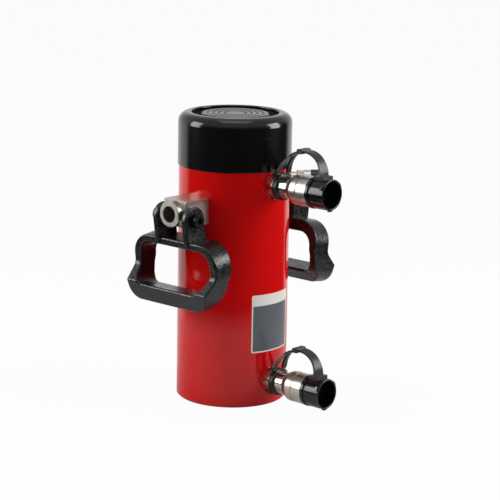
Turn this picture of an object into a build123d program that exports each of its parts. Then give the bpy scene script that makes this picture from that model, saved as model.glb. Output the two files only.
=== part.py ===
from build123d import *
import math
import os

os.makedirs("parts", exist_ok=True)

# Double-acting hydraulic cylinder, upright on its base.
# Millimetres, +Z up, origin at the centre of the base face.
# The two port couplers point along -Y and the two carrying handles hang at +X and -X.

# Barrel
barrel_height = 326.0
bore_dia = 95.2
barrel_wall = 15.9
floor_thickness = 22.0
foot_chamfer = 2.0
collar_step = 1.3
collar_length = 56.0
collar_chamfer = 5.0
gland_bore_step = 3.4

# Base mounting holes
base_bolt_inset = 16.0
base_hole_dia = 10.2
base_hole_depth = 19.0
base_hole_count = 4
base_hole_turn = 45.0

# Ports
low_port_height = 28.0
high_port_drop = 72.0
port_dia = 17.2
port_depth = 12.5
passage_dia = 7.0
passage_break = 9.6
spot_face_dia = 33.0
spot_face_depth = 1.6

# Gland nut with its seals
gland_length = 60.0
gland_recess = 4.0
gland_rod_gap = 0.5
spanner_hole_dia = 6.0
spanner_hole_depth = 7.0
spanner_hole_count = 4
spanner_hole_turn = 20.0
wiper_height = 6.0
wiper_depth = 5.0
wiper_offset = 51.0
rod_seal_height = 10.0
rod_seal_depth = 6.0
rod_seal_offset = 34.0
bearing_height = 22.0
bearing_depth = 2.5
bearing_offset = 6.0
gland_ring_height = 4.5
gland_ring_depth = 3.0
gland_ring_offset = 12.0

# Plunger, piston and saddle
rod_step = 7.85
stroke = 156.0
stop_gap = 0.3
foot_step = 16.6
foot_length = 13.7
piston_gap = 0.35
piston_shoulder = 15.7
shoulder_step = 4.1
spigot_dia = 48.0
rod_socket_depth = 7.7
rod_edge = 1.5
piston_edge = 1.5
nut_dia = 56.0
nut_height = 14.0
nut_slot_width = 7.0
nut_slot_depth = 4.0
wear_ring_height = 11.0
wear_ring_depth = 2.5
lower_wear_offset = 4.0
upper_wear_offset = 38.0
piston_seal_height = 9.0
piston_seal_depth = 6.0
piston_seal_offset = 22.0
spigot_ring_section = 3.0
spigot_ring_offset = 10.0
saddle_step = 1.25
saddle_height = 10.0
saddle_recess = 1.5
saddle_chamfer = 1.2
saddle_stem_dia = 30.0
saddle_stem_length = 20.0
saddle_groove_pitch = 6.5
saddle_groove_width = 2.8
saddle_groove_depth = 1.7
saddle_groove_count = 4
saddle_ring_section = 3.0
saddle_ring_offset = 8.0

# Thread protector over the collar
protector_step = 1.2
protector_rise = 4.0
protector_mouth_step = 1.4
protector_shoulder = 11.0
protector_lip_radius = 1.2
protector_skirt_gap = 0.3
protector_skirt_radius = 0.8

# Clearances between pieces
running_gap = 0.3
slide_fit = 0.05
thread_gap = 0.1
thread_end_gap = 0.5
pocket_gap = 0.1

# Couplers, by distance from the cylinder's axis
coupler_flange_dia = 30.0
coupler_flange_length = 6.5
coupler_flange_radius = 1.0
coupler_neck_dia = 26.0
coupler_neck_length = 24.2
coupler_neck_edge = 0.6
coupler_tube_dia = 24.0
coupler_length = 52.0
sleeve_offset = 24.5
sleeve_length = 30.6
sleeve_dia = 34.6
sleeve_rear_dia = 26.4
sleeve_cone_length = 7.5
sleeve_web = 9.0
sleeve_bore_dia = 29.6
sleeve_groove_offset = 15.5
sleeve_groove_width = 1.4
sleeve_groove_depth = 0.8
sleeve_edge = 0.9
sleeve_shoulder_radius = 6.0
sleeve_rear_radius = 0.8
retainer_section = 1.5
poppet_bore_dia = 14.0
poppet_seat_dia = 9.2
poppet_seat_length = 3.0
poppet_travel = 3.0
poppet_guide_length = 6.0
spring_wire = 1.1
spring_turns = 3.5
spring_length = 9.0

# Dust caps and their tethers
cap_flange_dia = 36.0
cap_flange_thickness = 3.6
cap_dia = 34.6
cap_length = 25.2
cap_wall = 2.2
cap_cup_depth = 18.0
cap_skirt_length = 15.5
cap_skirt_wall = 2.0
cap_lug_width = 5.0
cap_lug_height = 1.4
cap_lug_length = 3.0
cap_lug_count = 3
cap_cup_draft = 0.6
cap_step = 0.5
cap_step_length = 3.0
cap_rim_radius = 0.8
thread_pitch = 3.0
cap_travel = 18.0
tether_ring_dia = 31.6
tether_ring_width = 5.6
tether_thickness = 2.4
tether_width = 12.0
tether_rise = 43.6
tether_foot_width = 16.0
tether_foot_length = 14.0
tether_slot_width = 17.0
clasp_width = 15.0
clasp_length = 8.0
clasp_height = 5.4
clasp_radius = 1.6
tether_spread = 8.0
tether_sink = 2.2

# Relief valve, on the high port's level
valve_angle = 45.0
valve_thread_dia = 12.3
valve_thread_depth = 10.0
valve_passage_dia = 4.0
valve_spot_dia = 24.0
valve_neck_dia = 15.0
valve_neck_length = 7.5
valve_body_dia = 19.0
valve_body_length = 16.3
valve_hex = 17.0
valve_hex_length = 6.0
valve_cap_dia = 20.0
valve_cap_length = 11.7
valve_cap_wall = 2.0
valve_stem_dia = 10.0
valve_stem_length = 7.0
valve_edge = 1.0
valve_flat_offset = 2.0
valve_cap_radius = 1.5

# Handle mounting blocks
block_width = 35.4
block_depth = 33.5
block_height = 30.0
block_drop = 99.6
block_edge = 1.2
block_overlap = 13.5
nose_dia = 29.0
nose_length = 9.6
nose_chamfer = 1.0
nose_root = 5.0
counterbore_dia = 18.4
counterbore_web = 16.5
block_screw_dia = 10.0
block_screw_head_dia = 16.0
block_screw_head = 10.0
block_screw_socket = 8.0
block_screw_thread_depth = 12.0
screw_head_edge = 0.6

# Handle pivots and handles
pivot_offset = 28.0
pivot_drop = 5.4
pivot_dia = 10.0
pivot_thread_dia = 8.0
pivot_thread_length = 8.0
pivot_head_dia = 15.4
pivot_head = 7.2
pivot_socket = 6.0
pivot_socket_depth = 4.0
ear_thickness = 7.6
ear_radius = 15.0
bar_top = 22.5
bar_thickness = 11.5
handle_half_width = 62.8
handle_shoulder_radius = 26.0
leg_thickness = 10.2
leg_bend = 60.0
grip_inset = 5.3
opening_bottom = 82.5
opening_taper = 4.3
opening_top_radius = 16.0
opening_low_radius = 15.0
opening_slope = 0.24
grip_corner = 18.0
strip_depth = 26.0
grip_front = 31.5
grip_front_top = 73.0
grip_back = 15.5
grip_cut = 100.0
grip_bottom = 95.5
knee_out = 3.0
knee_depth = 79.0
knee_radius = 20.0
front_radius = 9.0
back_bend = 55.0
front_bend = 58.5
grip_lean = 3.0
bend_radius = 14.0
cast_radius = 2.2

# Sizes that follow from the ones above
barrel_dia = bore_dia + 2 * barrel_wall
barrel_radius = barrel_dia / 2
collar_dia = barrel_dia - 2 * collar_step
gland_bore_dia = bore_dia + 2 * gland_bore_step
base_bolt_circle = barrel_dia - 2 * base_bolt_inset
passage_floor = bore_dia / 2 - passage_break
rod_dia = bore_dia - 2 * rod_step
foot_dia = bore_dia - 2 * foot_step
shoulder_dia = bore_dia - 2 * shoulder_step
saddle_dia = rod_dia - 2 * saddle_step
protector_dia = barrel_dia + 2 * protector_step
protector_mouth_dia = gland_bore_dia - 2 * protector_mouth_step
coupler_flange_end = barrel_radius + coupler_flange_length
coupler_neck_end = barrel_radius + coupler_neck_length
coupler_tube_end = barrel_radius + coupler_length
sleeve_start = barrel_radius + sleeve_offset
sleeve_end = sleeve_start + sleeve_length
valve_neck_end = barrel_radius + valve_neck_length
valve_body_end = valve_neck_end + valve_body_length
valve_cap_end = valve_body_end + valve_cap_length
block_front = barrel_radius + block_depth
nose_front = block_front + nose_length
block_root = barrel_radius - block_overlap
counterbore_floor = barrel_radius + counterbore_web
pivot_radius = barrel_radius + pivot_offset
bore_radius = bore_dia / 2
collar_radius = collar_dia / 2
collar_start = barrel_height - collar_length
high_port_height = barrel_height - high_port_drop
protector_height = barrel_height + protector_rise
block_centre_height = barrel_height - block_drop
pivot_height = block_centre_height - pivot_drop
gland_top = barrel_height - gland_recess
gland_bottom = gland_top - gland_length
rod_radius = rod_dia / 2
piston_bottom = floor_thickness + stop_gap
piston_top = gland_bottom - stroke - stop_gap
piston_body_bottom = piston_bottom + foot_length
piston_body_top = piston_top - piston_shoulder
piston_radius = bore_radius - piston_gap
saddle_top = protector_height - saddle_recess
rod_top = saddle_top - saddle_height
rod_shoulder = piston_top - rod_socket_depth
spot_face = barrel_radius - spot_face_depth
port_floor = barrel_radius - port_depth
cap_start = sleeve_end
cap_end = cap_start + cap_length
block_half = block_width / 2
ear_start = block_half + running_gap


def turned(profile, rounds=()):
    """Solid of revolution about Z from (radius, height) points, with rounded corners."""
    points = [Vector(radius, 0, height) for radius, height in profile]
    face = make_face(Polyline(*points, close=True))
    for (radius, height), size in rounds:
        corner = Vector(radius, 0, height)
        near = face.vertices().sort_by_distance(corner)[:1]
        face = fillet(near, size)
    return revolve(face, Axis.Z)


def ring(outer_radius, inner_radius, bottom, top):
    """Plain ring about Z."""
    return turned(
        [(inner_radius, bottom), (outer_radius, bottom), (outer_radius, top), (inner_radius, top)]
    )


def post(radius, bottom, top):
    """Plain cylinder about Z between two heights."""
    return Pos(0, 0, bottom) * Cylinder(
        radius, top - bottom, align=(Align.CENTER, Align.CENTER, Align.MIN)
    )


def hexagon(across_flats, bottom, top):
    """Hexagonal bar about Z between two heights."""
    side = across_flats / math.sqrt(3)
    return Pos(0, 0, bottom) * extrude(RegularPolygon(side, 6), top - bottom)


def radial(angle, height):
    """Frame whose Z axis leaves the cylinder's axis at an angle from +X, with Y upward."""
    turn = math.radians(angle)
    out = Vector(math.cos(turn), math.sin(turn), 0)
    side = Vector(-math.sin(turn), math.cos(turn), 0)
    return Plane(origin=(0, 0, height), x_dir=side, z_dir=out).location


low_port = radial(-90, low_port_height)
high_port = radial(-90, high_port_height)
valve_port = radial(valve_angle - 90, high_port_height)
right_side = radial(0, block_centre_height)
left_side = radial(180, block_centre_height)


def barrel():
    """Tube and base in one piece, with ports, spot faces, collar and mounting holes."""
    collar_shoulder = barrel_height - collar_chamfer
    gland_radius = gland_bore_dia / 2
    body = turned(
        [
            (0, 0),
            (barrel_radius - foot_chamfer, 0),
            (barrel_radius, foot_chamfer),
            (barrel_radius, collar_start),
            (collar_radius, collar_start),
            (collar_radius, collar_shoulder),
            (collar_radius - collar_chamfer, barrel_height),
            (gland_radius, barrel_height),
            (gland_radius, gland_bottom),
            (bore_radius, gland_bottom),
            (bore_radius, floor_thickness),
            (0, floor_thickness),
        ]
    )
    reach = barrel_dia
    for port in (low_port, high_port):
        body -= port * post(spot_face_dia / 2, spot_face, reach)
        body -= port * post(port_dia / 2, port_floor, reach)
        body -= port * post(passage_dia / 2, passage_floor, reach)
    body -= valve_port * post(valve_spot_dia / 2, spot_face, reach)
    body -= valve_port * post(valve_thread_dia / 2, barrel_radius - valve_thread_depth, reach)
    body -= valve_port * post(valve_passage_dia / 2, passage_floor, reach)
    screw_floor = barrel_radius - block_screw_thread_depth
    for side in (right_side, left_side):
        body -= side * post(block_screw_dia / 2, screw_floor, reach)
    holes = PolarLocations(base_bolt_circle / 2, base_hole_count, base_hole_turn)
    for place in holes:
        body -= place * post(base_hole_dia / 2, 0, base_hole_depth)
    return body


def gland_nut():
    """Screwed gland with grooves for wiper, rod seal, bearing and static ring."""
    outer = gland_bore_dia / 2 - thread_gap
    inner = rod_radius + gland_rod_gap
    body = ring(outer, inner, gland_bottom, gland_top)
    grooves = (
        (wiper_offset, wiper_height, wiper_depth),
        (rod_seal_offset, rod_seal_height, rod_seal_depth),
        (bearing_offset, bearing_height, bearing_depth),
    )
    for offset, height, depth in grooves:
        bottom = gland_bottom + offset
        body -= ring(rod_radius + depth, inner - running_gap, bottom, bottom + height)
    bottom = gland_bottom + gland_ring_offset
    body -= ring(outer + 1, outer - gland_ring_depth, bottom, bottom + gland_ring_height)
    spanner_circle = (outer + inner) / 2
    for place in PolarLocations(spanner_circle, spanner_hole_count, spanner_hole_turn):
        body -= place * post(spanner_hole_dia / 2, gland_top - spanner_hole_depth, gland_top)
    return body


def gland_insert(offset, height, depth):
    """Ring that sits in one of the gland's inner grooves and runs on the rod."""
    bottom = gland_bottom + offset + pocket_gap
    top = bottom + height - 2 * pocket_gap
    return rod_radius + slide_fit, rod_radius + depth - pocket_gap, bottom, top


def gland_bearing():
    """Split bronze bearing band in the gland."""
    inner, outer, bottom, top = gland_insert(bearing_offset, bearing_height, bearing_depth)
    return ring(outer, inner, bottom, top)


def rod_seal():
    """U-cup rod seal with its lips facing the oil."""
    inner, outer, bottom, top = gland_insert(rod_seal_offset, rod_seal_height, rod_seal_depth)
    middle = (inner + outer) / 2
    lip = rod_seal_depth / 5
    notch = rod_seal_height / 3
    return turned(
        [
            (inner, bottom),
            (inner + lip, bottom),
            (middle, bottom + notch),
            (outer - lip, bottom),
            (outer, bottom),
            (outer, top),
            (inner, top),
        ]
    )


def wiper_ring():
    """Wiper with a lip that points outwards along the rod."""
    inner, outer, bottom, top = gland_insert(wiper_offset, wiper_height, wiper_depth)
    heel = wiper_depth / 2
    return turned(
        [
            (inner + heel / 2, bottom),
            (outer, bottom),
            (outer, top - heel),
            (inner + heel, top - heel),
            (inner + heel / 4, top),
            (inner, top),
        ]
    )


def gland_o_ring():
    """Static ring between the gland and the barrel."""
    outer = gland_bore_dia / 2 - pocket_gap
    section = gland_ring_depth / 2 - pocket_gap
    centre = gland_bottom + gland_ring_offset + gland_ring_height / 2
    return Pos(0, 0, centre) * Torus(outer - section, section)


def plunger():
    """Chromed plunger with a spigot for the piston and a socket for the saddle."""
    spigot = spigot_dia / 2
    spigot_end = piston_bottom + 2 * stop_gap
    ring_centre = rod_shoulder - spigot_ring_offset
    stem_hole = saddle_stem_dia / 2 + thread_gap
    stem_floor = rod_top - saddle_stem_length - 1
    edge = rod_edge
    body = turned(
        [
            (0, spigot_end),
            (spigot - edge, spigot_end),
            (spigot, spigot_end + edge),
            (spigot, rod_shoulder),
            (rod_radius, rod_shoulder),
            (rod_radius, rod_top - edge),
            (rod_radius - edge, rod_top),
            (stem_hole, rod_top),
            (stem_hole, stem_floor),
            (0, stem_floor),
        ]
    )
    body -= ring(
        spigot + 1,
        spigot - spigot_ring_section,
        ring_centre - spigot_ring_section / 2,
        ring_centre + spigot_ring_section / 2,
    )
    return body


def piston():
    """Piston with a reduced foot, a stop shoulder and grooves for seal and wear rings."""
    foot = foot_dia / 2
    shoulder = shoulder_dia / 2
    nut_hole = nut_dia / 2 + thread_gap
    nut_top = piston_bottom + 2 * stop_gap + nut_height + thread_gap
    spigot_hole = spigot_dia / 2 + pocket_gap
    socket = rod_radius + pocket_gap
    body = turned(
        [
            (nut_hole, piston_bottom),
            (foot, piston_bottom),
            (foot, piston_body_bottom),
            (piston_radius, piston_body_bottom),
            (piston_radius, piston_body_top),
            (shoulder, piston_body_top),
            (shoulder, piston_top),
            (socket, piston_top),
            (socket, rod_shoulder),
            (spigot_hole, rod_shoulder),
            (spigot_hole, nut_top),
            (nut_hole, nut_top),
        ],
        [
            ((piston_radius, piston_body_bottom), piston_edge),
            ((piston_radius, piston_body_top), piston_edge),
        ],
    )
    grooves = (
        (lower_wear_offset, wear_ring_height, wear_ring_depth),
        (piston_seal_offset, piston_seal_height, piston_seal_depth),
        (upper_wear_offset, wear_ring_height, wear_ring_depth),
    )
    for offset, height, depth in grooves:
        bottom = piston_body_bottom + offset
        body -= ring(bore_radius, bore_radius - depth, bottom, bottom + height)
    return body


def piston_wear_rings():
    """Two guide bands in the piston's outer grooves."""
    bands = Part()
    outer = bore_radius - slide_fit
    for offset in (lower_wear_offset, upper_wear_offset):
        bottom = piston_body_bottom + offset + pocket_gap
        top = bottom + wear_ring_height - 2 * pocket_gap
        bands += ring(outer, bore_radius - wear_ring_depth + pocket_gap, bottom, top)
    return bands


def piston_seal():
    """Double-acting piston seal with a raised middle lip."""
    bottom = piston_body_bottom + piston_seal_offset + pocket_gap
    top = bottom + piston_seal_height - 2 * pocket_gap
    inner = bore_radius - piston_seal_depth + pocket_gap
    outer = bore_radius - slide_fit
    heel = piston_seal_height / 4
    return turned(
        [
            (inner, bottom),
            (outer - heel / 2, bottom),
            (outer, bottom + heel),
            (outer, top - heel),
            (outer - heel / 2, top),
            (inner, top),
        ]
    )


def piston_nut():
    """Slotted round nut that holds the piston on the plunger."""
    bottom = piston_bottom + 2 * stop_gap
    nut = ring(nut_dia / 2, spigot_dia / 2 + thread_gap, bottom, bottom + nut_height)
    slot = Box(nut_dia + 2, nut_slot_width, 2 * nut_slot_depth)
    for turn in (0, 90):
        nut -= Pos(0, 0, bottom) * Rot(0, 0, turn) * slot
    return nut


def spigot_o_ring():
    """Static ring on the plunger's spigot, under the piston."""
    section = spigot_ring_section / 2
    inner = spigot_dia / 2 - spigot_ring_section
    return Pos(0, 0, rod_shoulder - spigot_ring_offset) * Torus(inner + section, section)


def saddle():
    """Removable saddle with concentric grooves and a stem in the plunger."""
    radius = saddle_dia / 2
    stem = saddle_stem_dia / 2
    body = turned(
        [
            (0, rod_top - saddle_stem_length),
            (stem - 1, rod_top - saddle_stem_length),
            (stem, rod_top - saddle_stem_length + 1),
            (stem, rod_top),
            (radius, rod_top),
            (radius, saddle_top - saddle_chamfer),
            (radius - saddle_chamfer, saddle_top),
            (0, saddle_top),
        ]
    )
    for step in range(saddle_groove_count):
        outer = radius - saddle_groove_pitch * (step + 1) + saddle_groove_width / 2
        inner = outer - saddle_groove_width
        middle = (outer + inner) / 2
        body -= turned(
            [
                (outer, saddle_top + 1),
                (outer, saddle_top),
                (middle, saddle_top - saddle_groove_depth),
                (inner, saddle_top),
                (inner, saddle_top + 1),
            ]
        )
    centre = rod_top - saddle_ring_offset
    half = saddle_ring_section / 2
    body -= ring(stem + 1, stem - saddle_ring_section, centre - half, centre + half)
    return body


def saddle_retaining_ring():
    """Elastic ring on the saddle's stem that grips the plunger's socket."""
    half = saddle_ring_section / 2
    centre = rod_top - saddle_ring_offset
    middle = (saddle_stem_dia - saddle_ring_section) / 2
    return Pos(0, 0, centre) * Torus(middle + slide_fit, half - slide_fit / 2)


def thread_protector():
    """Moulded cap over the collar thread, with a round shoulder and an open top."""
    outer = protector_dia / 2
    inner = collar_radius + thread_gap
    mouth = protector_mouth_dia / 2
    bottom = collar_start + protector_skirt_gap
    chamfer_start = barrel_height - collar_chamfer
    return turned(
        [
            (inner, bottom),
            (outer, bottom),
            (outer, protector_height),
            (mouth, protector_height),
            (mouth, barrel_height),
            (inner - collar_chamfer, barrel_height),
            (inner, chamfer_start),
        ],
        [
            ((outer, protector_height), protector_shoulder),
            ((mouth, protector_height), protector_lip_radius),
            ((outer, bottom), protector_skirt_radius),
        ],
    )


def coupler_body():
    """Coupler's fixed body: thread, flange, neck with the tether's seat and front tube."""
    thread = port_dia / 2 - thread_gap
    flange = coupler_flange_dia / 2
    neck = coupler_neck_dia / 2
    tube = coupler_tube_dia / 2
    body = turned(
        [
            (0, port_floor + thread_gap),
            (thread, port_floor + thread_gap),
            (thread, spot_face),
            (flange, spot_face),
            (flange, coupler_flange_end),
            (neck, coupler_flange_end),
            (neck, coupler_neck_end - coupler_neck_edge),
            (neck - coupler_neck_edge, coupler_neck_end),
            (tube, coupler_neck_end),
            (tube, coupler_tube_end),
            (0, coupler_tube_end),
        ],
        [((flange, coupler_flange_end), coupler_flange_radius)],
    )
    seat_start = coupler_tube_end - poppet_seat_length
    cone = (poppet_bore_dia - poppet_seat_dia) / 2
    body -= turned(
        [
            (0, port_floor),
            (passage_dia / 2, port_floor),
            (passage_dia / 2, poppet_floor),
            (poppet_bore_dia / 2, poppet_floor),
            (poppet_bore_dia / 2, seat_start - cone),
            (poppet_seat_dia / 2, seat_start),
            (poppet_seat_dia / 2, coupler_tube_end + 1),
            (0, coupler_tube_end + 1),
        ]
    )
    groove = sleeve_start + sleeve_web + running_gap
    body -= ring(
        tube + 1, tube - retainer_section / 2, groove, groove + retainer_section + pocket_gap
    )
    return body


def poppet():
    """Check valve poppet that closes the coupler's mouth from inside."""
    guide = poppet_bore_dia / 2 - slide_fit
    nose = poppet_seat_dia / 2 - running_gap
    seat_start = coupler_tube_end - poppet_seat_length
    cone = guide - nose
    cone_top = seat_start - running_gap
    bore = spring_wire * 2
    return turned(
        [
            (bore, poppet_back),
            (guide, poppet_back),
            (guide, cone_top - cone),
            (nose, cone_top),
            (nose, coupler_tube_end - running_gap),
            (0, coupler_tube_end - running_gap),
            (0, poppet_back + poppet_guide_length / 2),
            (bore, poppet_back + poppet_guide_length / 2),
        ]
    )


# The poppet's back face, the floor of its bore and its spring, from the coupler's mouth inwards.
poppet_cone = (poppet_bore_dia - poppet_seat_dia) / 2
poppet_back = coupler_tube_end - poppet_seat_length - poppet_cone - poppet_guide_length
poppet_floor = poppet_back - spring_length


def poppet_spring():
    """Coil spring behind the poppet."""
    half = spring_wire / 2
    radius = poppet_bore_dia / 2 - half - running_gap
    height = spring_length - spring_wire - 2 * pocket_gap
    path = Helix(height / spring_turns, height, radius)
    start = Plane(origin=path @ 0, z_dir=path % 0)
    coil = sweep(start * Circle(half), path=path)
    return Pos(0, 0, poppet_floor + half + pocket_gap) * coil


def sleeve_retainer():
    """Wire ring that keeps the sleeve on the coupler's body."""
    tube = coupler_tube_dia / 2
    bottom = sleeve_start + sleeve_web + running_gap
    return ring(
        tube + retainer_section / 2 + pocket_gap,
        tube - retainer_section / 2 + pocket_gap,
        bottom + pocket_gap / 2,
        bottom + pocket_gap / 2 + retainer_section,
    )


def sleeve():
    """Screwed union sleeve that turns on the coupler's body."""
    fit = coupler_tube_dia / 2 + slide_fit
    bore = sleeve_bore_dia / 2
    outer = sleeve_dia / 2
    rear = sleeve_rear_dia / 2
    web_end = sleeve_start + sleeve_web
    edge = sleeve_edge
    groove = sleeve_start + sleeve_groove_offset
    body = turned(
        [
            (fit, sleeve_start),
            (rear, sleeve_start),
            (outer, sleeve_start + sleeve_cone_length),
            (outer, sleeve_end - edge),
            (outer - edge, sleeve_end),
            (bore, sleeve_end),
            (bore, web_end),
            (fit, web_end),
        ],
        [
            ((outer, sleeve_start + sleeve_cone_length), sleeve_shoulder_radius),
            ((rear, sleeve_start), sleeve_rear_radius),
        ],
    )
    body -= ring(outer + 1, outer - sleeve_groove_depth, groove, groove + sleeve_groove_width)
    return body


def dust_cap():
    """Moulded dust cap: screwed skirt inside the sleeve, flange and an open cup outside."""
    skirt = sleeve_bore_dia / 2 - running_gap
    skirt_inner = skirt - cap_skirt_wall
    flange = cap_flange_dia / 2
    outer = cap_dia / 2
    cup = outer - cap_wall
    face = cap_start + running_gap
    flange_end = face + cap_flange_thickness
    cup_floor = cap_end - cap_cup_depth
    body = turned(
        [
            (0, face + cap_step),
            (skirt_inner, face + cap_step),
            (skirt_inner, face - cap_skirt_length),
            (skirt, face - cap_skirt_length),
            (skirt, face),
            (flange, face),
            (flange, flange_end),
            (outer - cap_step, flange_end),
            (outer, flange_end + cap_step_length),
            (outer, cap_end),
            (cup, cap_end),
            (cup - cap_cup_draft, cup_floor),
            (0, cup_floor),
        ],
        [
            ((flange, flange_end), cap_rim_radius),
            ((outer, cap_end), cap_rim_radius),
            ((cup, cap_end), cap_rim_radius),
        ],
    )
    lug = Box(cap_lug_width, cap_lug_height * 2, cap_lug_length)
    for place in PolarLocations(outer, cap_lug_count, -90):
        body += place * Rot(0, 0, 90) * Pos(0, 0, cap_end - cap_lug_length) * lug
    body -= Pos(0, 0, cup_floor) * Cylinder(
        cup - cap_cup_draft, cap_length, align=(Align.CENTER, Align.CENTER, Align.MIN)
    )
    return body


def arch_face(points, thickness):
    """Curved band of one thickness along points given as (distance out, height)."""
    count = len(points)
    inner = []
    outer = []
    for index, (out, height) in enumerate(points):
        before = points[max(index - 1, 0)]
        after = points[min(index + 1, count - 1)]
        run = after[0] - before[0]
        rise = after[1] - before[1]
        length = math.hypot(run, rise)
        shift_out = -rise / length * thickness / 2
        shift_up = run / length * thickness / 2
        outer.append(Vector(0, height + shift_up, out + shift_out))
        inner.append(Vector(0, height - shift_up, out - shift_out))
    top = Spline(*outer)
    bottom = Spline(*inner)
    ends = [Line(inner[0], outer[0]), Line(inner[-1], outer[-1])]
    return make_face([top, bottom] + ends)


# The tether's arch, as distance out and height above the coupler's axis.
ring_middle = coupler_flange_end + tether_ring_width / 2
foot_middle = cap_start + 12.0
foot_top = cap_dia / 2 + tether_thickness / 2
arch_join = (sleeve_start + cap_start) / 2 + 2.5
arch_left = [
    (ring_middle, tether_ring_dia / 2 - 1.0),
    (ring_middle + 2.2, 0.5 * tether_rise),
    (ring_middle + 8.5, 0.72 * tether_rise),
    (ring_middle + 17.5, 0.9 * tether_rise),
    (arch_join - 3.5, 0.99 * tether_rise),
    (arch_join + 0.0, tether_rise),
]
arch_right = [
    (arch_join, tether_rise),
    (arch_join + 6.0, 0.995 * tether_rise),
    (foot_middle - 11.0, 0.93 * tether_rise),
    (foot_middle - 4.5, 0.8 * tether_rise),
    (foot_middle - 0.9, 0.64 * tether_rise),
    (foot_middle, foot_top),
]


def front_slab(points):
    """Slab through the whole arch from an outline across the tether."""
    outline = make_face(Polyline(*[Vector(x, y, 0) for x, y in points], close=True))
    return Pos(0, 0, spot_face) * extrude(outline, cap_end)


def tether_ring():
    """Ring on the coupler's neck with a forked strap up to the clasp."""
    neck = coupler_neck_dia / 2 + pocket_gap
    start = coupler_flange_end + pocket_gap
    band = ring(tether_ring_dia / 2, neck, start, start + tether_ring_width)
    strap = extrude(arch_face(arch_left, tether_thickness), tether_width, (1, 0, 0), both=True)
    half = tether_width / 2
    base = tether_ring_dia / 2 - tether_sink
    fork = 0.82 * tether_rise
    top = tether_rise + 2 * tether_thickness
    strap &= front_slab(
        [
            (-half - tether_spread, base),
            (half + tether_spread, base),
            (half, fork),
            (half, top),
            (-half, top),
            (-half, fork),
        ]
    )
    slot = tether_slot_width / 2
    narrow = slot / 4
    strap -= front_slab([(-slot, 0), (slot, 0), (narrow, fork), (-narrow, fork)])
    strap -= post(neck, 0, cap_end)
    strap -= post(cap_end, arch_join, 2 * cap_end)
    clasp = Box(clasp_width, clasp_height, clasp_length)
    clasp = fillet(clasp.edges().filter_by(Axis.X), clasp_radius)
    body = band + strap + Pos(0, tether_rise, arch_join - clasp_length / 2) * clasp
    return body


def tether_strap():
    """Strap from the clasp down to its foot on the dust cap."""
    strap = extrude(arch_face(arch_right, tether_thickness), tether_width, (1, 0, 0), both=True)
    half = tether_width / 2
    wide = tether_foot_width / 2
    base = cap_dia / 2 - tether_thickness
    narrowing = 0.8 * tether_rise
    top = tether_rise + 2 * tether_thickness
    strap &= front_slab(
        [
            (-wide, base),
            (wide, base),
            (half, narrowing),
            (half, top),
            (-half, top),
            (-half, narrowing),
        ]
    )
    foot = Box(tether_foot_width, 2 * tether_thickness, tether_foot_length)
    foot = Pos(0, cap_dia / 2, foot_middle) * foot
    body = strap + foot
    flange_end = cap_start + running_gap + cap_flange_thickness
    body -= post(cap_dia / 2 + pocket_gap, sleeve_start, 2 * cap_end)
    body -= post(cap_flange_dia / 2 + pocket_gap, cap_start, flange_end + pocket_gap)
    body -= post(cap_end, 0, arch_join + running_gap)
    return body


def relief_valve():
    """Relief valve body with wrench flats and a stem for its cap."""
    thread = valve_thread_dia / 2 - thread_gap
    bottom = barrel_radius - valve_thread_depth + thread_gap
    body = turned(
        [
            (valve_passage_dia / 2, bottom),
            (thread, bottom),
            (thread, spot_face),
            (valve_neck_dia / 2, spot_face),
            (valve_neck_dia / 2, valve_neck_end),
            (valve_body_dia / 2, valve_neck_end),
            (valve_body_dia / 2, valve_body_end),
            (valve_stem_dia / 2, valve_body_end),
            (valve_stem_dia / 2, valve_body_end + valve_stem_length),
            (0, valve_body_end + valve_stem_length),
            (0, valve_neck_end),
            (valve_passage_dia / 2, valve_neck_end),
        ],
        [
            ((valve_body_dia / 2, valve_neck_end), valve_edge),
            ((valve_body_dia / 2, valve_body_end), valve_edge),
        ],
    )
    flats_start = valve_neck_end + valve_flat_offset
    flats = ring(valve_body_dia, 0, flats_start, flats_start + valve_hex_length)
    flats -= hexagon(valve_hex, valve_neck_end, valve_body_end)
    return body - flats


def relief_valve_cap():
    """Closed black cap over the relief valve's adjuster."""
    outer = valve_cap_dia / 2
    return turned(
        [
            (valve_stem_dia / 2 + pocket_gap, valve_body_end),
            (outer, valve_body_end),
            (outer, valve_cap_end),
            (0, valve_cap_end),
            (0, valve_cap_end - valve_cap_wall),
            (valve_stem_dia / 2 + pocket_gap, valve_cap_end - valve_cap_wall),
        ],
        [((outer, valve_cap_end), valve_cap_radius), ((outer, valve_body_end), valve_cap_radius / 3)],
    )


def handle_block():
    """Steel block that seats on the barrel, with a turned nose and a counterbore."""
    body = Box(
        block_width,
        block_height,
        block_front - block_root,
        align=(Align.CENTER, Align.CENTER, Align.MIN),
    )
    body = Pos(0, 0, block_root) * body
    front = body.faces().sort_by(Axis.Z)[-1]
    body = chamfer(body.edges().filter_by(Axis.Z) + front.edges(), block_edge)
    nose = nose_dia / 2
    body += turned(
        [
            (0, block_front - nose_root),
            (nose, block_front - nose_root),
            (nose, nose_front - nose_chamfer),
            (nose - nose_chamfer, nose_front),
            (0, nose_front),
        ]
    )
    body -= post(counterbore_dia / 2, counterbore_floor, nose_front + 1)
    body -= post(block_screw_dia / 2 + pocket_gap, 0, nose_front)
    for side in (-1, 1):
        hole = Cylinder(pivot_thread_dia / 2, 2 * (pivot_thread_length + thread_end_gap))
        body -= Pos(side * block_half, -pivot_drop, pivot_radius) * Rot(0, 90, 0) * hole
    seat = Rot(90, 0, 0) * Cylinder(barrel_radius + slide_fit, 4 * block_height)
    return body - seat


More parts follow.
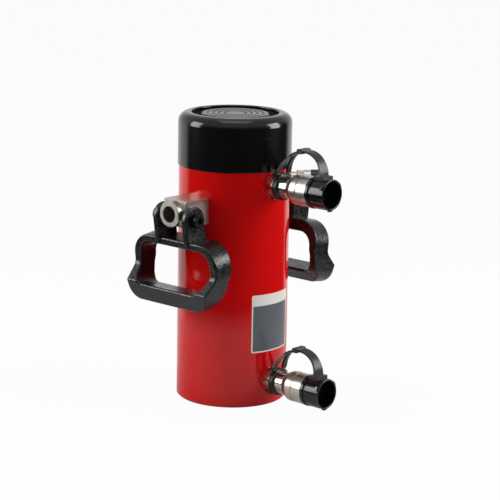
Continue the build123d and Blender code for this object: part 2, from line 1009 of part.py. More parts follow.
def block_screw():
    """Socket-head screw that holds a block on the barrel."""
    head_top = counterbore_floor + block_screw_head
    thread_end = barrel_radius - block_screw_thread_depth + thread_end_gap
    shank = block_screw_dia / 2 - slide_fit
    head = block_screw_head_dia / 2
    body = turned(
        [
            (0, thread_end),
            (shank, thread_end),
            (shank, counterbore_floor),
            (head, counterbore_floor),
            (head, head_top - screw_head_edge),
            (head - screw_head_edge, head_top),
            (0, head_top),
        ]
    )
    return body - hexagon(block_screw_socket, head_top - block_screw_head / 2, head_top + 1)


def pivot_screw():
    """Shoulder screw on which one ear of a handle turns, along Z from the block's side."""
    shoulder = ear_thickness + 2 * running_gap
    top = shoulder + pivot_head
    edge = screw_head_edge
    body = turned(
        [
            (0, -pivot_thread_length),
            (pivot_thread_dia / 2 - slide_fit, -pivot_thread_length),
            (pivot_thread_dia / 2 - slide_fit, 0),
            (pivot_dia / 2, 0),
            (pivot_dia / 2, shoulder),
            (pivot_head_dia / 2, shoulder),
            (pivot_head_dia / 2, top - edge),
            (pivot_head_dia / 2 - edge, top),
            (0, top),
        ]
    )
    return body - hexagon(pivot_socket, top - pivot_socket_depth, top + 1)


def pivot_screws():
    """The four shoulder screws, two on each block."""
    screws = Part()
    for turn in (0, 180):
        for side in (-1, 1):
            place = Pos(pivot_radius, side * block_half, pivot_height) * Rot(-90 * side, 0, 0)
            screws += Rot(0, 0, turn) * place * pivot_screw()
    return screws


def half_outline(points, radii):
    """Closed outline from one half, mirrored across the middle, with rounded corners."""
    mirrored = [(-x, z) for x, z in reversed(points)]
    face = make_face(Polyline(*[Vector(0, x, z) for x, z in points + mirrored], close=True))
    for (x, z), size in radii:
        for sign in (1, -1):
            corner = Vector(0, sign * x, z)
            near = face.vertices().sort_by_distance(corner)[:1]
            face = fillet(near, size)
    return face


def handle_casting():
    """Cast handle hanging from its pivot along -Z, with its grip kicked out to +X."""
    half = handle_half_width
    grip_half = half - grip_inset
    outer = half_outline(
        [
            (half, -bar_top),
            (half, -leg_bend),
            (grip_half, -grip_bottom),
        ],
        [
            ((half, -bar_top), handle_shoulder_radius),
            ((grip_half, -grip_bottom), grip_corner),
            ((half, -leg_bend), bend_radius),
        ],
    )
    inner_half = half - leg_thickness
    inner_top = bar_top + bar_thickness
    low_half = inner_half - opening_taper
    inner = half_outline(
        [
            (inner_half, -inner_top),
            (inner_half, -leg_bend),
            (low_half, -opening_bottom),
        ],
        [
            ((inner_half, -inner_top), opening_top_radius),
            ((inner_half, -leg_bend), bend_radius),
            ((low_half, -opening_bottom), opening_low_radius),
        ],
    )
    reach = 2 * half
    loop = extrude(outer, reach, (1, 0, 0), both=True)
    loop -= extrude(inner, reach, (1, 0, opening_slope), both=True)
    back = strip_depth / 2
    side_view = make_face(
        Polyline(
            (-back, 0, -ear_radius),
            (-back, 0, -back_bend),
            (-knee_out, 0, -knee_depth),
            (grip_back, 0, -grip_cut),
            (grip_front - grip_lean, 0, -grip_cut),
            (grip_front, 0, -grip_front_top),
            (back, 0, -front_bend),
            (back, 0, -ear_radius),
            close=True,
        )
    )
    bends = (
        ((-back, -back_bend), knee_radius),
        ((-knee_out, -knee_depth), knee_radius),
        ((back, -front_bend), front_radius),
    )
    for (x, z), size in bends:
        corner = Vector(x, 0, z)
        side_view = fillet(side_view.vertices().sort_by_distance(corner)[:1], size)
    body = loop & extrude(side_view, reach, (0, 1, 0), both=True)
    body = fillet(body.edges(), cast_radius)
    root = bar_top + bar_thickness / 2
    slot = SlotOverall(2 * ear_radius + 2 * root, 2 * ear_radius)
    ear = Rot(90, 0, 0) * Rot(0, 0, 90) * extrude(slot, ear_thickness / 2, both=True)
    ear = fillet(ear.edges().filter_by(lambda edge: abs(edge.center().Y) > ear_thickness / 4), cast_radius)
    ear = Pos(0, 0, -root) * ear
    keep = Box(reach, reach, reach, align=(Align.CENTER, Align.CENTER, Align.MIN))
    ear &= Pos(0, 0, -root) * keep
    middle = ear_start + ear_thickness / 2
    body += Pos(0, middle, 0) * ear + Pos(0, -middle, 0) * ear
    body -= Rot(90, 0, 0) * Cylinder(pivot_dia / 2 + slide_fit, 2 * reach)
    return body


casting = handle_casting()
mass_centre = casting.center(CenterOf.MASS)
hang_angle = math.degrees(math.atan2(mass_centre.X, -mass_centre.Z))
right_handle = Pos(pivot_radius, 0, pivot_height) * Rot(0, hang_angle, 0) * casting
left_handle = Rot(0, 0, 180) * right_handle

nodes = {
    "barrel": barrel(),
    "gland_nut": gland_nut(),
    "gland_bearing": gland_bearing(),
    "rod_seal": rod_seal(),
    "wiper_ring": wiper_ring(),
    "gland_o_ring": gland_o_ring(),
    "thread_protector": thread_protector(),
    "plunger": plunger(),
    "piston": piston(),
    "piston_wear_rings": piston_wear_rings(),
    "piston_seal": piston_seal(),
    "piston_nut": piston_nut(),
    "spigot_o_ring": spigot_o_ring(),
    "saddle": saddle(),
    "saddle_retaining_ring": saddle_retaining_ring(),
    "relief_valve": valve_port * relief_valve(),
    "relief_valve_cap": valve_port * relief_valve_cap(),
    "right_handle_block": right_side * handle_block(),
    "left_handle_block": left_side * handle_block(),
    "block_screws": Part() + right_side * block_screw() + left_side * block_screw(),
    "handle_pivot_screws": pivot_screws(),
    "right_handle": right_handle,
    "left_handle": left_handle,
}
for name, port in (("upper", high_port), ("lower", low_port)):
    nodes[name + "_coupler_body"] = port * coupler_body()
    nodes[name + "_coupler_sleeve"] = port * sleeve()
    nodes[name + "_sleeve_retainer"] = port * sleeve_retainer()
    nodes[name + "_poppet"] = port * poppet()
    nodes[name + "_poppet_spring"] = port * poppet_spring()
    nodes[name + "_dust_cap"] = port * dust_cap()
    nodes[name + "_tether_ring"] = port * tether_ring()
    nodes[name + "_tether_strap"] = port * tether_strap()

for name, shape in nodes.items():
    export_step(shape, f"parts/{name}.step")

print(f"handle hangs at {hang_angle:.2f} degrees")
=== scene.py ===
import math

import bmesh
import bpy
from bpy.props import FloatProperty, FloatVectorProperty, PointerProperty
from mathutils import Matrix, Vector


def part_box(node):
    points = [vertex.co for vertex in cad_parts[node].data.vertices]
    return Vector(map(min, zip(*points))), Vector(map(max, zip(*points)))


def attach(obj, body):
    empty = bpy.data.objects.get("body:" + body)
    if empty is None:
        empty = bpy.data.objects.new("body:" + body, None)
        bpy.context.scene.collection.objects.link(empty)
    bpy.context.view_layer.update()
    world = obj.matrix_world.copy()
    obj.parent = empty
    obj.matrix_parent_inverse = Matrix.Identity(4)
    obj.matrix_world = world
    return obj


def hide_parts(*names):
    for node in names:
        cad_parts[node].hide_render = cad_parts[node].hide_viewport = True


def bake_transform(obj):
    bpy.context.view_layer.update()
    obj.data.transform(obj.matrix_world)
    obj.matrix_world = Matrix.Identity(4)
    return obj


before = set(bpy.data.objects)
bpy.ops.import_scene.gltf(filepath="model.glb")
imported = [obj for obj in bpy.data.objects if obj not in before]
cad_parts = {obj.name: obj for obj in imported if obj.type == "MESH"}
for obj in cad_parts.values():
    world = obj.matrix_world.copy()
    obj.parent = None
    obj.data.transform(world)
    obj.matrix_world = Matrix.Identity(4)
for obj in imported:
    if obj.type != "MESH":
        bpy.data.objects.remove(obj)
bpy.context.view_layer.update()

bl_info = {
    "name": "Double-acting hydraulic cylinder",
    "version": (1, 0, 0),
    "blender": (4, 5, 0),
    "location": "View3D > Sidebar > Cylinder",
    "description": "Finishes a double-acting hydraulic cylinder and its studio stage",
    "category": "Object",
}

MM = 0.001

# Places that every piece is set out from, read from the solids.
BARREL_LOW, BARREL_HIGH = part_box("barrel")
BARREL_RADIUS = BARREL_HIGH.x
COUPLER_LEVELS = {
    level: sum(corner.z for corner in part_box(level + "_coupler_sleeve")) / 2
    for level in ("upper", "lower")
}


def colour(code):
    """sRGB hex to the linear RGBA that a shader takes."""
    channels = [int(code[start:start + 2], 16) / 255 for start in (1, 3, 5)]
    linear = [c / 12.92 if c <= 0.04045 else ((c + 0.055) / 1.055) ** 2.4 for c in channels]
    return (*linear, 1.0)


# Sizes and colours a user would change


def length(name, description, default, low=0.0, high=1.0):
    """A length in metres for the sidebar."""
    return FloatProperty(
        name=name, description=description, default=default,
        min=low, max=high, unit="LENGTH", subtype="DISTANCE", precision=5,
    )


def tint(name, description, code):
    """A colour for the sidebar, kept in linear light."""
    return FloatVectorProperty(
        name=name, description=description, default=colour(code)[:3],
        size=3, min=0.0, max=1.0, subtype="COLOR",
    )


class CylinderSizes(bpy.types.PropertyGroup):
    """Sizes of what the scene adds to the solids."""

    label_bottom: length("Label bottom", "Height of the decal's lower edge", 63.5 * MM)
    label_height: length("Label height", "Height of the decal", 67.0 * MM)
    label_width: length("Label width", "Width of the decal round the barrel", 59.0 * MM)
    label_border: length("Label border", "Width of the decal's pale border", 1.6 * MM)
    label_corner: length("Label corner", "Corner radius of the decal", 2.0 * MM)
    label_film: length("Label film", "Thickness of the decal's film", 0.08 * MM)
    cast_grain: length("Cast grain", "Size of the pebbles in the cast skin", 1.9 * MM)
    turned_pitch: length("Turned pitch", "Feed marks on turned steel", 0.35 * MM)
    peel: length("Orange peel", "Size of the ripples in the enamel", 2.4 * MM)


class CylinderColours(bpy.types.PropertyGroup):
    """Colours of the finishes."""

    enamel: tint("Enamel", "Red enamel of the barrel", "#c60b0b")
    moulding: tint("Moulding", "Black moulded protector and caps", "#0c0c0d")
    strap: tint("Strap", "Black flexible tether", "#1d1d20")
    casting: tint("Casting", "Black coat on the cast handles", "#0f1011")
    nickel: tint("Nickel", "Nickel plate on blocks and couplers", "#cdc8be")
    saddle: tint("Saddle", "Black coat on the saddle", "#131315")
    label_sheet: tint("Label sheet", "Pale sheet of the decal", "#d9d5cf")
    label_panel: tint("Label panel", "Grey panel of the decal", "#54595e")


class CylinderStage(bpy.types.PropertyGroup):
    """Camera, lights and floor."""

    camera_distance: length("Camera distance", "Level distance from the axis", 2.0939, high=10.0)
    camera_height: length("Camera height", "Height of the lens above the floor", 0.6417, high=5.0)
    camera_side: FloatProperty(
        name="Camera side", description="How far the camera stands round from the couplers",
        default=math.radians(-48.0), subtype="ANGLE",
    )
    camera_pitch: FloatProperty(
        name="Camera pitch", description="Tilt of the camera below level",
        default=0.2216, subtype="ANGLE",
    )
    camera_yaw: FloatProperty(
        name="Camera yaw", description="Turn of the camera away from the axis",
        default=0.0092, subtype="ANGLE",
    )
    camera_roll: FloatProperty(
        name="Camera roll", description="Roll of the camera",
        default=0.0182, subtype="ANGLE",
    )
    camera_lens: FloatProperty(
        name="Lens", description="Focal length on a 36 mm sensor, in millimetres", default=134.66,
    )
    floor_size: length("Floor size", "Width of the floor", 60.0, high=200.0)
    sheet_radius: length("Sheet radius", "Reach of the lit sheet that gloss shows", 0.44)
    fill_level: FloatProperty(
        name="Fill", description="Strength of the even light from all round", default=0.36,
    )
    sweep_turn: FloatProperty(
        name="Sweep turn", description="How far the white sweep stands round from the view",
        default=math.radians(10.0), subtype="ANGLE",
    )
    ceiling_level: FloatProperty(
        name="Ceiling", description="Brightness of the ceiling in gloss", default=0.55,
    )
    room_level: FloatProperty(
        name="Room", description="Brightness of the unlit room in gloss", default=0.03,
    )


# Nodes, materials and meshes


def add_node(tree, kind, sockets=None, **settings):
    """One node with its settings; a socket takes a value, or an output socket to link from."""
    node = tree.nodes.new(kind)
    for name, value in settings.items():
        setattr(node, name, value)
    for name, value in (sockets or {}).items():
        socket = node.inputs[name]
        if isinstance(value, bpy.types.NodeSocket):
            tree.links.new(value, socket)
        else:
            socket.default_value = value
    return node


def new_material(name, **shader):
    """An empty material with one Principled shader; keywords use _ for a space."""
    made = bpy.data.materials.new(name)
    made.use_nodes = True
    tree = made.node_tree
    tree.nodes.clear()
    sockets = {key.replace("_", " "): value for key, value in shader.items()}
    surface = add_node(tree, "ShaderNodeBsdfPrincipled", sockets)
    add_node(tree, "ShaderNodeOutputMaterial", {"Surface": surface.outputs["BSDF"]})
    return made, tree, surface


def bump(tree, surface, height, strength, depth):
    """Drives the shader's normal from a height socket, depth in metres."""
    node = add_node(
        tree, "ShaderNodeBump",
        {"Height": height, "Strength": strength, "Distance": depth},
    )
    tree.links.new(node.outputs["Normal"], surface.inputs["Normal"])


def place(tree):
    """Coordinates fixed to the object, in metres."""
    return add_node(tree, "ShaderNodeTexCoord").outputs["Object"]


def ramp(tree, factor, stops, kind="ShaderNodeValToRGB"):
    """Colour ramp through (position, linear RGBA) stops."""
    node = add_node(tree, kind, {"Fac": factor})
    elements = node.color_ramp.elements
    while len(elements) < len(stops):
        elements.new(0.5)
    for element, (position, value) in zip(elements, stops):
        element.position = position
        element.color = value
    return node.outputs["Color"]


def grey(value):
    """A neutral linear colour."""
    return (value, value, value, 1.0)


def solid(rgb):
    """Linear RGBA from a sidebar colour."""
    return (*rgb, 1.0)


def gloss_enamel(sizes, colours):
    """Sprayed and baked enamel over turned steel: a deep, slightly rippled red outside."""
    made, tree, surface = new_material(
        "Gloss_enamel_on_turned_steel",
        Base_Color=solid(colours.enamel), Roughness=0.06, IOR=1.43,
    )
    where = place(tree)
    ripple = add_node(
        tree, "ShaderNodeTexNoise",
        {"Vector": where, "Scale": 1 / sizes.peel, "Detail": 1.0, "Roughness": 0.4},
    )
    bump(tree, surface, ripple.outputs["Fac"], 0.06, 0.05 * MM)
    # Spot faces, threads and the bore are cut after painting and keep an oiled steel skin.
    bare = add_node(
        tree, "ShaderNodeBsdfPrincipled",
        {"Base Color": colour("#55585c"), "Metallic": 1.0, "Roughness": 0.38},
    )
    level = add_node(
        tree, "ShaderNodeVectorMath", {0: where, 1: (1.0, 1.0, 0.0)}, operation="MULTIPLY",
    )
    radius = add_node(tree, "ShaderNodeVectorMath", {0: level.outputs[0]}, operation="LENGTH")
    outside = add_node(
        tree, "ShaderNodeMath", {0: radius.outputs["Value"], 1: BARREL_RADIUS - 1.1 * MM},
        operation="GREATER_THAN",
    )
    mixed = add_node(
        tree, "ShaderNodeMixShader",
        {"Fac": outside.outputs[0], 1: bare.outputs[0], 2: surface.outputs[0]},
    )
    output = next(n for n in tree.nodes if n.type == "OUTPUT_MATERIAL")
    tree.links.new(mixed.outputs[0], output.inputs["Surface"])
    return made


def moulded_gloss(name, rgb, roughness, grain=0.6 * MM):
    """Injection-moulded plastic from a polished tool: near black, with a faint flow texture."""
    made, tree, surface = new_material(
        name, Base_Color=solid(rgb), Roughness=roughness, IOR=1.49,
    )
    texture = add_node(
        tree, "ShaderNodeTexNoise",
        {"Vector": place(tree), "Scale": 1 / grain, "Detail": 2.0, "Roughness": 0.5},
    )
    bump(tree, surface, texture.outputs["Fac"], 0.08, 0.02 * MM)
    return made


def sand_cast(sizes, colours):
    """Sand-cast iron under a gloss black coat: the grains of the mould show as a pebbled skin."""
    made, tree, surface = new_material(
        "Gloss_black_on_sand_cast_iron",
        Base_Color=solid(colours.casting), Roughness=0.24, IOR=1.5,
    )
    where = place(tree)
    grains = add_node(
        tree, "ShaderNodeTexVoronoi",
        {"Vector": where, "Scale": 1 / sizes.cast_grain, "Smoothness": 0.6},
        feature="SMOOTH_F1",
    )
    swell = add_node(
        tree, "ShaderNodeTexNoise",
        {"Vector": where, "Scale": 0.3 / sizes.cast_grain, "Detail": 3.0, "Roughness": 0.6},
    )
    both = add_node(
        tree, "ShaderNodeMath", {0: swell.outputs["Fac"], 1: grains.outputs["Distance"]},
        operation="SUBTRACT",
    )
    bump(tree, surface, both.outputs["Value"], 0.55, 0.45 * MM)
    shade = ramp(tree, swell.outputs["Fac"], ((0.35, grey(0.18)), (0.65, grey(0.34))))
    tree.links.new(shade, surface.inputs["Roughness"])
    return made


def plated_steel(name, rgb, roughness, pitch, grain=(1.0, 1.0, 1.0), depth=0.02 * MM):
    """Nickel plate over steel: warm silver, with tool marks; grain under 1 draws them out."""
    made, tree, surface = new_material(
        name, Base_Color=solid(rgb), Metallic=1.0, Roughness=roughness,
    )
    drawn = add_node(
        tree, "ShaderNodeMapping", {"Vector": place(tree), "Scale": grain}, vector_type="POINT",
    )
    marks = add_node(
        tree, "ShaderNodeTexNoise",
        {"Vector": drawn.outputs["Vector"], "Scale": 1 / pitch, "Detail": 2.0, "Roughness": 0.5},
    )
    worn = ramp(
        tree, marks.outputs["Fac"],
        ((0.3, grey(roughness * 0.85)), (0.7, grey(roughness * 1.15))),
    )
    tree.links.new(worn, surface.inputs["Roughness"])
    bump(tree, surface, marks.outputs["Fac"], 0.1, depth)
    return made


def plain_metal(name, code, roughness):
    """A machined or drawn metal part with an even finish."""
    made, tree, surface = new_material(
        name, Base_Color=colour(code), Metallic=1.0, Roughness=roughness,
    )
    marks = add_node(
        tree, "ShaderNodeTexNoise",
        {"Vector": place(tree), "Scale": 1 / (0.8 * MM), "Detail": 2.0, "Roughness": 0.5},
    )
    bump(tree, surface, marks.outputs["Fac"], 0.05, 0.01 * MM)
    return made


def plain_polymer(name, code, roughness):
    """A rubber or plastic part with an even, soft skin."""
    made, tree, surface = new_material(
        name, Base_Color=colour(code), Roughness=roughness, IOR=1.5,
    )
    grain = add_node(
        tree, "ShaderNodeTexNoise",
        {"Vector": place(tree), "Scale": 1 / (0.5 * MM), "Detail": 2.0, "Roughness": 0.5},
    )
    bump(tree, surface, grain.outputs["Fac"], 0.1, 0.02 * MM)
    return made


def finish(node, made):
    """Gives a solid of the frame its material."""
    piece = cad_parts[node]
    piece.data.materials.clear()
    piece.data.materials.append(made)
    return piece


def new_piece(name, mesh, made):
    """Links a new mesh as a named piece with its material."""
    piece = bpy.data.objects.new(name, mesh)
    bpy.context.scene.collection.objects.link(piece)
    mesh.materials.append(made)
    return piece


def round_patch(name, centre, width, bottom, top, radius, thickness, corner):
    """Film of one thickness lying on the barrel, with rounded corners, about an angle from +X."""
    height = top - bottom
    columns = 48
    outline = []
    for across, up, start in (
        (width - corner, corner, -90), (width - corner, height - corner, 0),
        (corner, height - corner, 90), (corner, corner, 180),
    ):
        for step in range(7):
            turn = math.radians(start + 15 * step)
            outline.append((across + corner * math.cos(turn), up + corner * math.sin(turn)))
    edges_across = sorted({round(x, 7) for x, _ in outline} | {
        round(corner + (width - 2 * corner) * i / columns, 7) for i in range(columns + 1)
    })

    def span(across):
        inset = max(corner - across, across - (width - corner), 0.0)
        drop = corner - math.sqrt(max(corner * corner - inset * inset, 0.0))
        return drop, height - drop

    mesh = bpy.data.meshes.new(name)
    sheet = bmesh.new()
    rows = {}
    for depth in (0.0, thickness):
        pairs = []
        for across in edges_across:
            turn = centre + (across - width / 2) / radius
            reach = radius + depth
            low, high = span(across)
            pairs.append([
                sheet.verts.new((reach * math.cos(turn), reach * math.sin(turn), bottom + level))
                for level in (low, high)
            ])
        rows[depth] = pairs
    inner, outer = rows[0.0], rows[thickness]
    for i in range(len(edges_across) - 1):
        sheet.faces.new((outer[i][0], outer[i + 1][0], outer[i + 1][1], outer[i][1]))
        sheet.faces.new((inner[i][1], inner[i + 1][1], inner[i + 1][0], inner[i][0]))
        for level in (0, 1):
            ring = (inner[i][level], inner[i + 1][level], outer[i + 1][level], outer[i][level])
            sheet.faces.new(ring if level == 0 else ring[::-1])
    for i, flip in ((0, True), (-1, False)):
        ring = (inner[i][0], outer[i][0], outer[i][1], inner[i][1])
        sheet.faces.new(ring[::-1] if flip else ring)
    bmesh.ops.remove_doubles(sheet, verts=sheet.verts, dist=1e-7)
    bmesh.ops.recalc_face_normals(sheet, faces=sheet.faces)
    sheet.to_mesh(mesh)
    sheet.free()
    return mesh


def joined_copy(name, nodes):
    """One mesh with the shapes of several solids."""
    mesh = bpy.data.meshes.new(name)
    whole = bmesh.new()
    for node in nodes:
        whole.from_mesh(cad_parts[node].data)
    bmesh.ops.remove_doubles(whole, verts=whole.verts, dist=1e-6)
    whole.to_mesh(mesh)
    whole.free()
    return mesh


# Operators, one for each piece or group of like pieces


class PieceOperator:
    """What the piece operators share."""

    bl_options = {"REGISTER"}


class CYLINDER_OT_barrel(PieceOperator, bpy.types.Operator):
    """Paint the barrel and fit the black thread protector"""

    bl_idname = "cylinder.barrel"
    bl_label = "Barrel and thread protector"

    def execute(self, context):
        sizes, colours = context.scene.cylinder_sizes, context.scene.cylinder_colours
        finish("barrel", gloss_enamel(sizes, colours))
        # Polished tool: a mirror-like black skin that shows the studio's pale walls at its edges.
        finish("thread_protector", moulded_gloss("Gloss_black_moulded_ABS", colours.moulding, 0.13))
        return {"FINISHED"}


class CYLINDER_OT_plunger(PieceOperator, bpy.types.Operator):
    """Finish the plunger, the saddle and the pieces inside the barrel"""

    bl_idname = "cylinder.plunger"
    bl_label = "Plunger, saddle and inner pieces"

    def execute(self, context):
        colours = context.scene.cylinder_colours
        # Hard chrome is ground and polished, so it is the brightest metal here.
        chrome = plain_metal("Ground_hard_chrome", "#cfd1d4", 0.08)
        steel = plain_metal("Turned_carbon_steel", "#93959a", 0.34)
        bronze = plain_metal("Turned_bearing_bronze", "#a9824a", 0.3)
        rubber = plain_polymer("Moulded_nitrile_rubber", "#1b1b1b", 0.55)
        urethane = plain_polymer("Moulded_polyurethane", "#2f4a63", 0.4)
        phenolic = plain_polymer("Wound_phenolic_fabric", "#5c4a33", 0.6)
        # Painted over turned grooves: satin, a little greyer on the edges than the gloss plastic.
        coat = moulded_gloss("Satin_black_on_turned_steel", colours.saddle, 0.22)
        finish("plunger", chrome)
        finish("saddle", coat)
        # Dark steel colour, painted shade: it keeps the ring round the saddle as dark as the shaded,
        # dark-reflecting mouth of the protector.
        finish("gland_nut", plain_metal("Dark_turned_steel_painted_shade", "#26272a", 0.4))
        for node in ("piston", "piston_nut"):
            finish(node, steel)
        finish("gland_bearing", bronze)
        for node in ("wiper_ring", "gland_o_ring", "spigot_o_ring", "saddle_retaining_ring"):
            finish(node, rubber)
        for node in ("rod_seal", "piston_seal"):
            finish(node, urethane)
        finish("piston_wear_rings", phenolic)
        return {"FINISHED"}


class CYLINDER_OT_couplers(PieceOperator, bpy.types.Operator):
    """Plate both couplers and finish their inner pieces"""

    bl_idname = "cylinder.couplers"
    bl_label = "Port couplers"

    def execute(self, context):
        sizes, colours = context.scene.cylinder_sizes, context.scene.cylinder_colours
        # Fine feed marks run round the sleeve, so it is satin; the neck is left brighter.
        satin = plated_steel(
            "Nickel_plated_turned_sleeve", colours.nickel, 0.3, sizes.turned_pitch,
            grain=(0.04, 1.0, 0.04),
        )
        bright = plated_steel(
            "Nickel_plated_turned_body", colours.nickel, 0.14, sizes.turned_pitch,
            grain=(0.04, 1.0, 0.04),
        )
        steel = plain_metal("Drawn_spring_steel", "#8b8d90", 0.3)
        hard = plain_metal("Ground_valve_steel", "#a2a4a8", 0.22)
        for level in COUPLER_LEVELS:
            finish(level + "_coupler_body", bright)
            finish(level + "_coupler_sleeve", satin)
            finish(level + "_sleeve_retainer", steel)
            finish(level + "_poppet_spring", steel)
            finish(level + "_poppet", hard)
        return {"FINISHED"}


class CYLINDER_OT_relief_valve(PieceOperator, bpy.types.Operator):
    """Finish the relief valve and its black cap"""

    bl_idname = "cylinder.relief_valve"
    bl_label = "Relief valve"

    def execute(self, context):
        colours = context.scene.cylinder_colours
        # Tumbled before plating, so it scatters more than the turned couplers do.
        finish("relief_valve", plated_steel("Nickel_plated_bar", colours.nickel, 0.32, 0.8 * MM))
        finish("relief_valve_cap", moulded_gloss("Satin_black_moulded_cap", colours.moulding, 0.3))
        return {"FINISHED"}


class CYLINDER_OT_dust_caps(PieceOperator, bpy.types.Operator):
    """Finish the dust caps and join each tether's ring and strap into one piece"""

    bl_idname = "cylinder.dust_caps"
    bl_label = "Dust caps and tethers"

    def execute(self, context):
        colours = context.scene.cylinder_colours
        # Nylon from a polished tool: glossy black with soft edges.
        nylon = moulded_gloss("Gloss_black_moulded_nylon", colours.moulding, 0.16)
        # A softer grade bends into the arch, and its skin is duller and a little greyer.
        soft = moulded_gloss("Satin_black_moulded_elastomer", colours.strap, 0.34)
        for level, height in COUPLER_LEVELS.items():
            finish(level + "_dust_cap", nylon)
            parts = (level + "_tether_ring", level + "_tether_strap")
            for node in parts:
                finish(node, soft)
            mesh = joined_copy(level + "_tether", parts)
            mesh.materials.clear()
            tether = new_piece(level + "_tether", mesh, soft)
            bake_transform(tether)
            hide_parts(*parts)
        return {"FINISHED"}


class CYLINDER_OT_handles(PieceOperator, bpy.types.Operator):
    """Finish the blocks, the screws and the two cast handles"""

    bl_idname = "cylinder.handles"
    bl_label = "Carrying handles"

    def execute(self, context):
        sizes, colours = context.scene.cylinder_sizes, context.scene.cylinder_colours
        milled = plated_steel("Nickel_plated_milled_steel", colours.nickel, 0.36, 1.2 * MM)
        oxide = plain_metal("Black_oxide_steel", "#2b2c2e", 0.36)
        iron = sand_cast(sizes, colours)
        for side in ("left", "right"):
            finish(side + "_handle_block", milled)
            finish(side + "_handle", iron)
        finish("block_screws", oxide)
        finish("handle_pivot_screws", oxide)
        return {"FINISHED"}


class CYLINDER_OT_label(PieceOperator, bpy.types.Operator):
    """Lay the blank decal on the barrel"""

    bl_idname = "cylinder.label"
    bl_label = "Blank decal"

    def execute(self, context):
        sizes, colours = context.scene.cylinder_sizes, context.scene.cylinder_colours
        # Clear-coated vinyl film: flat colour under a smooth, slightly glossy skin.
        pale = plain_polymer("Clear_coated_vinyl_film", "#ffffff", 0.25)
        dark = plain_polymer("Printed_vinyl_panel", "#000000", 0.3)
        for made, rgb in ((pale, colours.label_sheet), (dark, colours.label_panel)):
            made.node_tree.nodes["Principled BSDF"].inputs["Base Color"].default_value = solid(rgb)
        centre = math.radians(-91.0)
        border, film = sizes.label_border, sizes.label_film
        top = sizes.label_bottom + sizes.label_height
        header = 0.19 * sizes.label_height
        sheet = round_patch(
            "label_sheet", centre, sizes.label_width, sizes.label_bottom, top,
            BARREL_RADIUS, film, sizes.label_corner,
        )
        panel = round_patch(
            "label_panel", centre, sizes.label_width - 2 * border,
            sizes.label_bottom + border, top - header,
            BARREL_RADIUS + film, film / 2, sizes.label_corner / 3,
        )
        for name, mesh, made in (("label_sheet", sheet, pale), ("label_panel", panel, dark)):
            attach(new_piece(name, mesh, made), "barrel")
        return {"FINISHED"}


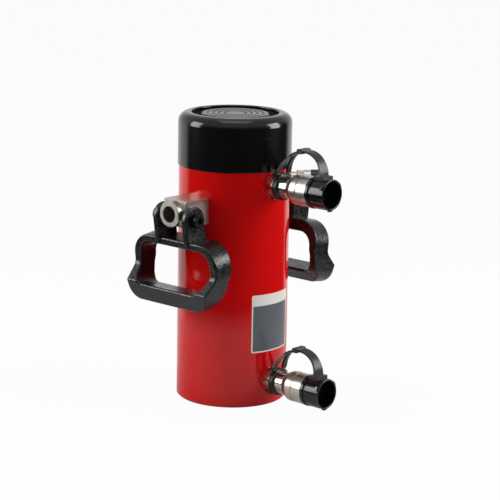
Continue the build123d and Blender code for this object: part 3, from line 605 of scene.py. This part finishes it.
class CYLINDER_OT_stage(PieceOperator, bpy.types.Operator):
    """Set up the floor, the studio lights, the world and the camera"""

    bl_idname = "cylinder.stage"
    bl_label = "Studio stage"

    def execute(self, context):
        stage = context.scene.cylinder_stage
        context.scene.view_settings.view_transform = "Standard"
        self.floor(stage)
        self.world(context, stage)
        self.lights(context)
        self.camera(context, stage)
        return {"FINISHED"}

    def floor(self, stage):
        mesh = bpy.data.meshes.new("studio_floor")
        half = stage.floor_size / 2
        corners = [(-half, -half, 0), (half, -half, 0), (half, half, 0), (-half, half, 0)]
        mesh.from_pydata(corners, [], [(0, 1, 2, 3)])
        floor = bpy.data.objects.new("studio_floor", mesh)
        bpy.context.scene.collection.objects.link(floor)
        # Seamless paper: white to the camera and in reflections, and it keeps a soft shadow.
        made, tree, surface = new_material(
            "Seamless_white_paper", Base_Color=grey(0.8), Roughness=0.9,
            Specular_IOR_Level=0.0,
        )
        rays = add_node(tree, "ShaderNodeLightPath")
        white = add_node(tree, "ShaderNodeEmission", {"Color": grey(1.0), "Strength": 1.0})
        share = add_node(
            tree, "ShaderNodeMath", {0: rays.outputs["Is Camera Ray"], 1: 0.95},
            operation="MULTIPLY",
        )
        seen = add_node(
            tree, "ShaderNodeMixShader",
            {"Fac": share.outputs[0], 1: surface.outputs["BSDF"], 2: white.outputs[0]},
        )
        # Gloss shows the lit sheet near the object, the white sweep behind it and the dim room.
        where = place(tree)
        radius = add_node(tree, "ShaderNodeVectorMath", {0: where}, operation="LENGTH")
        off_sheet = add_node(
            tree, "ShaderNodeMapRange",
            {"Value": radius.outputs["Value"], "From Min": 0.85 * stage.sheet_radius,
             "From Max": 1.15 * stage.sheet_radius},
        )
        far = add_node(
            tree, "ShaderNodeMath",
            {0: off_sheet.outputs["Result"], 1: rays.outputs["Is Glossy Ray"]},
            operation="MULTIPLY",
        )
        beyond = add_node(
            tree, "ShaderNodeEmission",
            {"Color": self.sweep(tree, where, stage), "Strength": 1.0},
        )
        mixed = add_node(
            tree, "ShaderNodeMixShader",
            {"Fac": far.outputs[0], 1: seen.outputs[0], 2: beyond.outputs[0]},
        )
        output = next(n for n in tree.nodes if n.type == "OUTPUT_MATERIAL")
        tree.links.new(mixed.outputs[0], output.inputs["Surface"])
        mesh.materials.append(made)

    def sweep(self, tree, where, stage):
        """White on the sweep's side of the object and dim on the room's side, by direction."""
        side = stage.camera_side + stage.sweep_turn
        level = add_node(
            tree, "ShaderNodeVectorMath", {0: where, 1: (1.0, 1.0, 0.0)}, operation="MULTIPLY",
        )
        unit = add_node(tree, "ShaderNodeVectorMath", {0: level.outputs[0]}, operation="NORMALIZE")
        behind = add_node(
            tree, "ShaderNodeVectorMath",
            {0: unit.outputs[0], 1: (-math.sin(side), math.cos(side), 0.0)}, operation="DOT_PRODUCT",
        )
        spread = add_node(
            tree, "ShaderNodeMapRange",
            {"Value": behind.outputs["Value"], "From Min": -1.0, "From Max": 1.0},
        )
        return ramp(
            tree, spread.outputs["Result"],
            ((0.70, grey(stage.room_level)), (0.79, grey(1.0))),
        )

    def world(self, context, stage):
        world = bpy.data.worlds.new("White_studio")
        context.scene.world = world
        world.use_nodes = True
        tree = world.node_tree
        tree.nodes.clear()
        rays = add_node(tree, "ShaderNodeLightPath")
        where = add_node(tree, "ShaderNodeTexCoord").outputs["Generated"]
        fill = add_node(
            tree, "ShaderNodeBackground", {"Color": grey(1.0), "Strength": stage.fill_level},
        )
        height = add_node(tree, "ShaderNodeSeparateXYZ", {"Vector": where}).outputs["Z"]
        overhead = add_node(
            tree, "ShaderNodeMapRange", {"Value": height, "From Min": 0.02, "From Max": 0.5},
        )
        around = add_node(
            tree, "ShaderNodeMix",
            {0: overhead.outputs["Result"], 6: self.sweep(tree, where, stage),
             7: grey(stage.ceiling_level)},
            data_type="RGBA",
        )
        mirrored = add_node(
            tree, "ShaderNodeBackground", {"Color": around.outputs[2], "Strength": 1.0},
        )
        white = add_node(tree, "ShaderNodeBackground", {"Color": grey(1.0), "Strength": 1.0})
        gloss = add_node(
            tree, "ShaderNodeMixShader",
            {"Fac": rays.outputs["Is Glossy Ray"], 1: fill.outputs[0], 2: mirrored.outputs[0]},
        )
        mixed = add_node(
            tree, "ShaderNodeMixShader",
            {"Fac": rays.outputs["Is Camera Ray"], 1: gloss.outputs[0], 2: white.outputs[0]},
        )
        add_node(tree, "ShaderNodeOutputWorld", {"Surface": mixed.outputs[0]})

    def lights(self, context):
        """Two tall softboxes at the sides and one overhead."""
        aim = Vector((0.0, 0.0, 0.17))
        # name, turn round from the camera's side, distance, height, size across, size up, watts
        boxes = (
            ("left_softbox", -86.0, 1.3, 0.62, 0.6, 0.9, 11.5),
            ("right_softbox", 86.0, 1.3, 0.62, 0.6, 0.9, 13.5),
            ("top_softbox", 0.0, 0.1, 1.9, 1.0, 1.0, 4.0),
        )
        view = math.degrees(context.scene.cylinder_stage.camera_side)
        for name, turn, reach, height, across, up, watts in boxes:
            lamp = bpy.data.lights.new(name, "AREA")
            lamp.shape = "RECTANGLE"
            lamp.size, lamp.size_y, lamp.energy = across, up, watts
            place_at = math.radians(view - 90.0 + turn)
            spot = Vector((reach * math.cos(place_at), reach * math.sin(place_at), height))
            box = bpy.data.objects.new(name, lamp)
            context.scene.collection.objects.link(box)
            box.location = spot
            box.rotation_euler = (aim - spot).to_track_quat("-Z", "Y").to_euler()

    def camera(self, context, stage):
        data = bpy.data.cameras.new("photo_camera")
        data.sensor_width = 36.0
        data.lens = stage.camera_lens
        camera = bpy.data.objects.new("photo_camera", data)
        context.scene.collection.objects.link(camera)
        spot = Matrix.Translation((0.0, -stage.camera_distance, stage.camera_height))
        camera.matrix_world = (
            Matrix.Rotation(stage.camera_side, 4, "Z") @ spot
            @ Matrix.Rotation(-stage.camera_yaw, 4, "Z")
            @ Matrix.Rotation(math.pi / 2 - stage.camera_pitch, 4, "X")
            @ Matrix.Rotation(stage.camera_roll, 4, "Z")
        )
        context.scene.camera = camera


OPERATORS = (
    CYLINDER_OT_barrel,
    CYLINDER_OT_plunger,
    CYLINDER_OT_couplers,
    CYLINDER_OT_relief_valve,
    CYLINDER_OT_dust_caps,
    CYLINDER_OT_handles,
    CYLINDER_OT_label,
    CYLINDER_OT_stage,
)


class CYLINDER_PT_panel(bpy.types.Panel):
    """Sidebar panel with every operator and value"""

    bl_idname = "CYLINDER_PT_panel"
    bl_label = "Hydraulic cylinder"
    bl_space_type = "VIEW_3D"
    bl_region_type = "UI"
    bl_category = "Cylinder"

    def draw(self, context):
        layout = self.layout
        for operator in OPERATORS:
            layout.operator(operator.bl_idname)
        for group in ("cylinder_sizes", "cylinder_colours", "cylinder_stage"):
            values = getattr(context.scene, group)
            box = layout.box()
            for name in values.__annotations__:
                box.prop(values, name)


GROUPS = {
    "cylinder_sizes": CylinderSizes,
    "cylinder_colours": CylinderColours,
    "cylinder_stage": CylinderStage,
}


def register():
    for group in GROUPS.values():
        bpy.utils.register_class(group)
    for name, group in GROUPS.items():
        setattr(bpy.types.Scene, name, PointerProperty(type=group))
    for operator in OPERATORS:
        bpy.utils.register_class(operator)
    bpy.utils.register_class(CYLINDER_PT_panel)


def unregister():
    bpy.utils.unregister_class(CYLINDER_PT_panel)
    for operator in reversed(OPERATORS):
        bpy.utils.unregister_class(operator)
    for name in GROUPS:
        delattr(bpy.types.Scene, name)
    for group in reversed(list(GROUPS.values())):
        bpy.utils.unregister_class(group)


def main():
    register()
    for operator in OPERATORS:
        family, name = operator.bl_idname.split(".")
        getattr(getattr(bpy.ops, family), name)()


if __name__ == "__main__":
    main()
